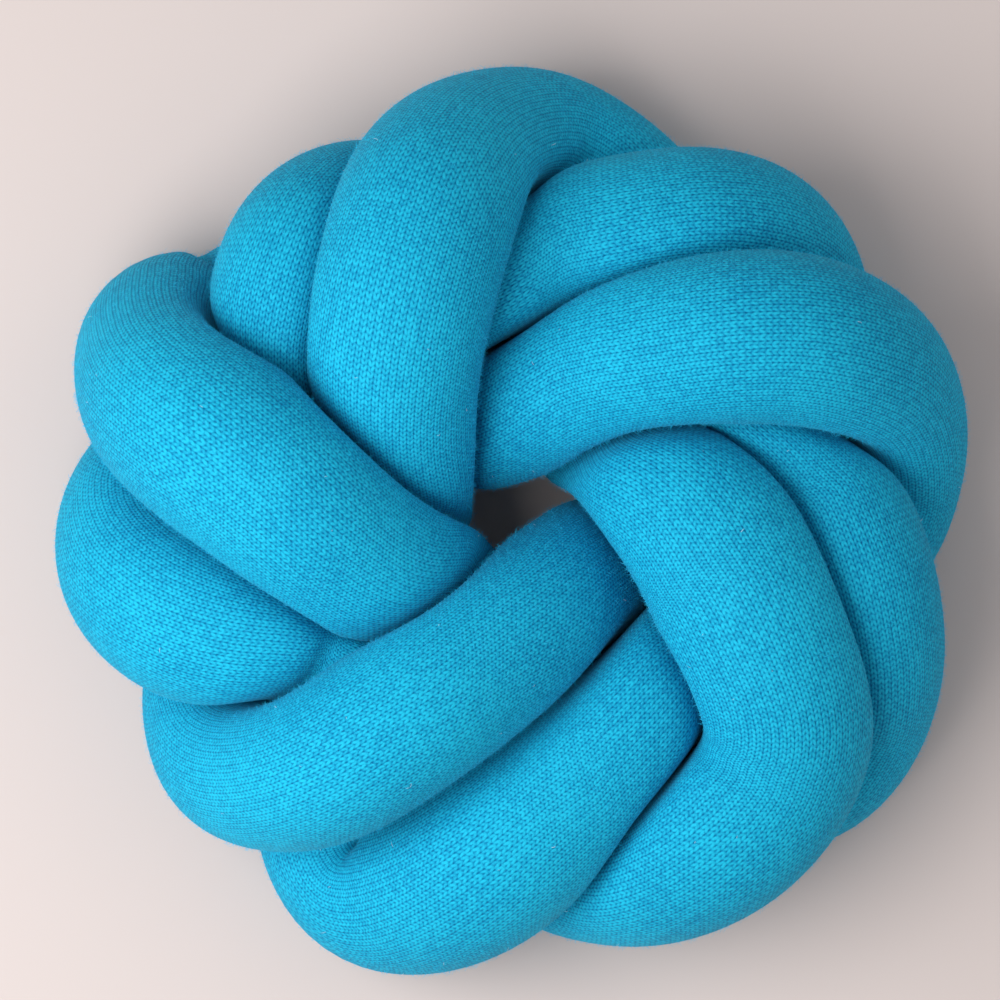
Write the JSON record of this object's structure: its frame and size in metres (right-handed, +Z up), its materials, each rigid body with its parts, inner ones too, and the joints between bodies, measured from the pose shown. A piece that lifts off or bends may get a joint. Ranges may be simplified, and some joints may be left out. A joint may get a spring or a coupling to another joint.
{
  "type": "knotted cushion",
  "caption": "Round floor cushion made of a filled knitted tube woven over and under itself into a lobed knot, with a small gap in the middle.",
  "frame": {"origin": "middle of the cushion's box, on the floor it lies on", "axes": "+Z up, away from the floor; +X to the right and +Y to the top of the face as pictured"},
  "size_m": [0.4016, 0.4008, 0.1705],
  "materials": {
    "blue_knit": "matte"
  },
  "bodies": {
    "root": {"knotted_tube": "blue_knit"}
  },
  "joints": []
}
